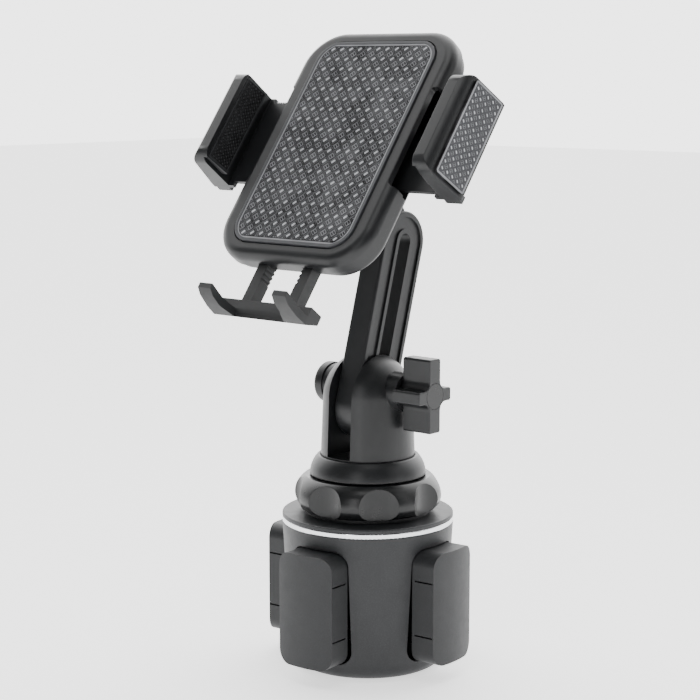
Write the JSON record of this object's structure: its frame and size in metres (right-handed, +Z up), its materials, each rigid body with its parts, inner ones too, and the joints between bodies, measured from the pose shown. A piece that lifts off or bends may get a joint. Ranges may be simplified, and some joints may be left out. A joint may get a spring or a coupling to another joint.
{
  "type": "car phone mount",
  "caption": "Cup-holder phone mount: expanding round base, swivelling fork, slotted arm and ball-jointed cradle with side clamps and a phone foot.",
  "frame": {"origin": "centre of the round base, on the surface it stands on", "axes": "+Z up, +X along the pivot bolt towards the star knob, -Y the side that the phone faces"},
  "size_m": [0.1226, 0.1108, 0.2417],
  "materials": {
    "dark_plastic": "fine-grained satin",
    "black_plastic": "satin",
    "acetal": "smooth",
    "steel": "zinc plated",
    "brass": "turned",
    "chrome": "polished",
    "rubber": "matt",
    "silicone": "woven relief"
  },
  "bodies": {
    "base": {"cup_body": "dark_plastic", "guide_core": "dark_plastic", "base_pad": "rubber", "base_screws": "steel", "chrome_ring": "chrome", "top_cover": "dark_plastic", "swivel_bolt": "steel", "swivel_washer": "acetal"},
    "wheel": {"hand_wheel": "dark_plastic", "cam_plate": "acetal", "cam_screws": "steel"},
    "foot_right": {"foot_carrier_right": "dark_plastic", "foot_shoe_right": "rubber"},
    "foot_back": {"foot_carrier_back": "dark_plastic", "foot_shoe_back": "rubber"},
    "foot_left": {"foot_carrier_left": "dark_plastic", "foot_shoe_left": "rubber"},
    "foot_front": {"foot_carrier_front": "dark_plastic", "foot_shoe_front": "rubber"},
    "turret": {"turret_collar": "dark_plastic", "turret_fork": "dark_plastic", "pivot_bolt": "steel", "bolt_cap": "dark_plastic", "friction_washers": "acetal"},
    "knob": {"star_knob": "dark_plastic", "knob_insert": "brass", "knob_disc": "steel"},
    "tilt_block": {"slot_block": "steel"},
    "arm": {"arm": "dark_plastic", "ball_stud": "black_plastic"},
    "pan_liner": {"ball_liner": "acetal"},
    "tilt_nut": {"ball_nut": "black_plastic"},
    "cradle": {"ball_socket": "black_plastic", "front_shell": "dark_plastic", "rear_shell": "dark_plastic", "shell_screws": "steel", "grip_pad": "silicone", "pinion_axle": "steel", "detent_clip": "acetal", "clamp_spring": "steel"},
    "clamp_right_side": {"clamp_right": "dark_plastic", "clamp_grip_right": "silicone", "clamp_panel_right": "silicone"},
    "clamp_left_side": {"clamp_left": "dark_plastic", "clamp_grip_left": "silicone", "clamp_panel_left": "silicone"},
    "pinion": {"sync_pinion": "acetal"},
    "release": {"release_slide": "dark_plastic", "ratchet_pawl": "acetal"},
    "phone_foot": {"phone_foot": "dark_plastic"}
  },
  "joints": [
    {"name": "wheel_turn", "type": "hinge", "parent": "base", "child": "wheel", "pos_m": [0, 0, 0.0665], "axis": [0, 0, 1], "range_deg": [-67.8, 45.7]},
    {"name": "foot_right_slide", "type": "slide", "parent": "base", "child": "foot_right", "axis": [0.9976, 0.0698, 0], "range_m": [-0.008, 0.0054]},
    {"name": "foot_back_slide", "type": "slide", "parent": "base", "child": "foot_back", "axis": [-0.0698, 0.9976, 0], "range_m": [-0.008, 0.0054]},
    {"name": "foot_left_slide", "type": "slide", "parent": "base", "child": "foot_left", "axis": [-0.9976, -0.0698, 0], "range_m": [-0.008, 0.0054]},
    {"name": "foot_front_slide", "type": "slide", "parent": "base", "child": "foot_front", "axis": [0.0698, -0.9976, 0], "range_m": [-0.008, 0.0054]},
    {"name": "turret_swivel", "type": "hinge", "parent": "base", "child": "turret", "pos_m": [0, 0, 0.078], "axis": [0, 0, 1], "continuous": true},
    {"name": "knob_turn", "type": "hinge", "parent": "turret", "child": "knob", "pos_m": [0, 0, 0.108], "axis": [1, 0, 0], "range_deg": [-180, 180]},
    {"name": "arm_tilt", "type": "hinge", "parent": "turret", "child": "tilt_block", "pos_m": [0, 0, 0.108], "axis": [1, 0, 0], "range_deg": [-60, 50]},
    {"name": "arm_extend", "type": "slide", "parent": "tilt_block", "child": "arm", "axis": [0, 0.2783, 0.9605], "range_m": [-0.002, 0.0045]},
    {"name": "cradle_pan", "type": "hinge", "parent": "arm", "child": "pan_liner", "pos_m": [0, 0.00722, 0.18732], "axis": [0, 0.6039, 0.7971], "range_deg": [-11, 11]},
    {"name": "cradle_tilt", "type": "hinge", "parent": "pan_liner", "child": "tilt_nut", "pos_m": [0, 0.00722, 0.18732], "axis": [1, 0, 0], "range_deg": [-35, 9]},
    {"name": "cradle_spin", "type": "hinge", "parent": "tilt_nut", "child": "cradle", "pos_m": [0, 0.00722, 0.18732], "axis": [0, -0.7971, 0.6039], "continuous": true},
    {"name": "clamp_slide", "type": "slide", "parent": "cradle", "child": "clamp_right_side", "axis": [1, 0, 0], "range_m": [-0.015, 0.002]},
    {"name": "clamp_left_slide", "type": "slide", "parent": "cradle", "child": "clamp_left_side", "axis": [-1, 0, 0], "range_m": [-0.015, 0.002]},
    {"name": "pinion_turn", "type": "hinge", "parent": "cradle", "child": "pinion", "pos_m": [0, -0.0167, 0.20544], "axis": [0, -0.7971, 0.6039], "range_deg": [-122.9, 16.5]},
    {"name": "release_press", "type": "slide", "parent": "cradle", "child": "release", "axis": [0, 0.6039, 0.7971], "range_m": [0, 0.003], "stiffness_N_per_m": 300, "springref_m": -0.001},
    {"name": "phone_foot_slide", "type": "slide", "parent": "cradle", "child": "phone_foot", "axis": [0, 0.6039, 0.7971], "range_m": [-0.012, 0.014]}
  ],
  "couplings": [
    {"joint": "foot_right_slide", "follows": "wheel_turn", "m_per_rad": 0.00675},
    {"joint": "foot_back_slide", "follows": "wheel_turn", "m_per_rad": 0.00675},
    {"joint": "foot_left_slide", "follows": "wheel_turn", "m_per_rad": 0.00675},
    {"joint": "foot_front_slide", "follows": "wheel_turn", "m_per_rad": 0.00675},
    {"joint": "clamp_left_slide", "follows": "clamp_slide", "ratio": 1},
    {"joint": "pinion_turn", "follows": "clamp_slide", "rad_per_m": 142.86}
  ]
}
